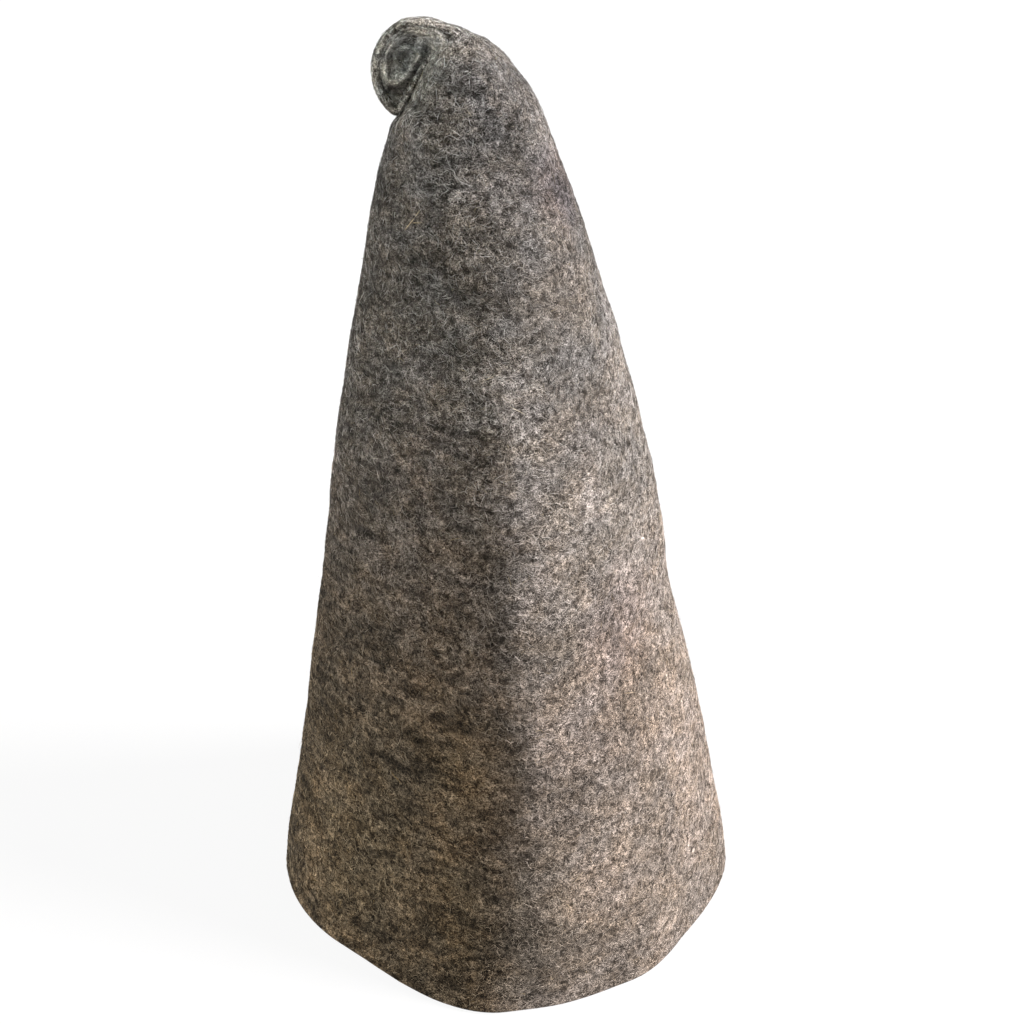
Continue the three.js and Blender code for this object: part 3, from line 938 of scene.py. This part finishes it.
# the roll's felt: a lighter copy of the hat's felt, painted light on the rolled tip, which lies in the body's shade
wool_roll_painted_light = felt_material("wool_felt_roll_painted_light", dark=(0.034, 0.031, 0.028), mid=(0.165, 0.146, 0.134), pale=(0.52, 0.47, 0.445), warm=(1.0, 0.94, 0.86), turns=True)
hair = hair_material("wool_hair")
felt.data.materials.append(wool)
core.data.materials.append(wool_roll_painted_light)
for f in fibres:
    f.data.materials.append(hair)

for piece in [felt, core, *fibres]:
    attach(piece, "root")
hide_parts("felt_hat")


# ---- floor, light and camera ------------------------------------------------------
def plain(name, color, rough=0.9, glow=0.0):
    m = Nodes(name)
    at = m.add("ShaderNodeTexCoord").outputs["Object"]
    f = m.noise(at, 3.0, 2.0, 0.5)
    p = m.add("ShaderNodeBsdfPrincipled")
    m.link(m.mix(f, color, tuple(c * 0.985 for c in color)), p.inputs["Base Color"])
    p.inputs["Roughness"].default_value = rough
    p.inputs["Specular IOR Level"].default_value = 0.0
    p.inputs["Emission Color"].default_value = (1, 1, 1, 1)
    p.inputs["Emission Strength"].default_value = glow
    out = m.add("ShaderNodeOutputMaterial")
    m.link(p.outputs[0], out.inputs["Surface"])
    return m.mat


floor = mesh("floor", np.array([[-6000, -6000, -0.2], [6000, -6000, -0.2], [6000, 6000, -0.2], [-6000, 6000, -0.2]]), np.array([[0, 1, 2, 3]]), smooth=False)
floor.data.materials.append(plain("pale_floor", (0.07, 0.07, 0.07), glow=0.912))

world = bpy.data.worlds.new("studio")
bpy.context.scene.world = world
world.use_nodes = True
wt = world.node_tree
wt.nodes.clear()
w_out = wt.nodes.new("ShaderNodeOutputWorld")
w_bg = wt.nodes.new("ShaderNodeBackground")
w_at = wt.nodes.new("ShaderNodeTexCoord")
w_xyz = wt.nodes.new("ShaderNodeSeparateXYZ")
w_ramp = wt.nodes.new("ShaderNodeMapRange")
w_ramp.interpolation_type = "SMOOTHSTEP"
# white all round at the height of the eye, dimmer overhead
for i, value in enumerate((0.30, 0.75, 1.0, 0.22)):
    w_ramp.inputs[i + 1].default_value = value
w_bg.inputs["Color"].default_value = (1.0, 1.0, 1.0, 1)
wt.links.new(w_at.outputs["Generated"], w_xyz.inputs[0])
wt.links.new(w_xyz.outputs[2], w_ramp.inputs[0])
wt.links.new(w_ramp.outputs[0], w_bg.inputs["Strength"])
wt.links.new(w_bg.outputs[0], w_out.inputs["Surface"])


def area_light(name, azimuth, elevation, distance, size, power, color, target=(0.0, 0.0, 0.19)):
    """A soft box that stands at an azimuth from the front, + to the right."""
    a, e = math.radians(azimuth), math.radians(elevation)
    d = Vector((math.sin(a) * math.cos(e), -math.cos(a) * math.cos(e), math.sin(e)))
    data = bpy.data.lights.new(name, "AREA")
    data.shape = "RECTANGLE"
    data.size, data.size_y = size
    data.energy = power
    data.color = color
    ob = bpy.data.objects.new(name, data)
    ob.location = Vector(target) + d * distance
    ob.rotation_euler = (-d).to_track_quat("-Z", "Y").to_euler()
    bpy.context.scene.collection.objects.link(ob)
    return ob


def wide_light(name, azimuth, elevation, angle, power, color):
    """A soft light from far off, as wide as `angle` degrees."""
    a, e = math.radians(azimuth), math.radians(elevation)
    d = Vector((math.sin(a) * math.cos(e), -math.cos(a) * math.cos(e), math.sin(e)))
    data = bpy.data.lights.new(name, "SUN")
    data.angle = math.radians(angle)
    data.energy = power
    data.color = color
    ob = bpy.data.objects.new(name, data)
    ob.location = d * 3
    ob.rotation_euler = (-d).to_track_quat("-Z", "Y").to_euler()
    bpy.context.scene.collection.objects.link(ob)
    return ob


wide_light("key", 82, 23, 24, 12.2, (1.0, 0.96, 0.955))
area_light("top", -30, 80, 2.2, (2.4, 2.4), 7.6, (0.97, 0.985, 1.0))
area_light("fill", -68, 6, 1.4, (0.8, 0.5), 3.8, (1.0, 0.88, 0.62), target=(0.0, 0.0, 0.06))

# a soft lamp on the rolled tip
tip_data = bpy.data.lights.new("tip", "SPOT")
tip_data.energy = 420
tip_data.color = (0.95, 1.0, 0.97)
tip_data.spot_size = math.radians(7)
tip_data.spot_blend = 1.0
tip_data.shadow_soft_size = 0.16
tip = bpy.data.objects.new("tip", tip_data)
tip_at = Vector((-0.055, 0.0, 0.385))
tip_from = Vector((math.sin(math.radians(-22)) * math.cos(math.radians(42)), -math.cos(math.radians(-22)) * math.cos(math.radians(42)), math.sin(math.radians(42))))
tip.location = tip_at + tip_from
tip.rotation_euler = (-tip_from).to_track_quat("-Z", "Y").to_euler()
bpy.context.scene.collection.objects.link(tip)

CAMERA_DISTANCE, CAMERA_ELEVATION = 0.7077, 26.0
AIM = Vector((CENTRE_X / 1000, 0.0, 0.1885))
e = math.radians(CAMERA_ELEVATION)
cam_data = bpy.data.cameras.new("camera")
cam_data.lens = 56.25
cam_data.sensor_width = 36.0
cam_data.clip_start, cam_data.clip_end = 0.01, 50
cam = bpy.data.objects.new("camera", cam_data)
cam.location = AIM + Vector((0, -math.cos(e), math.sin(e))) * CAMERA_DISTANCE
cam.rotation_euler = (AIM - cam.location).to_track_quat("-Z", "Y").to_euler()
bpy.context.scene.collection.objects.link(cam)
bpy.context.scene.camera = cam
view = bpy.context.scene.view_settings
view.view_transform = "Standard"
view.look = "None"
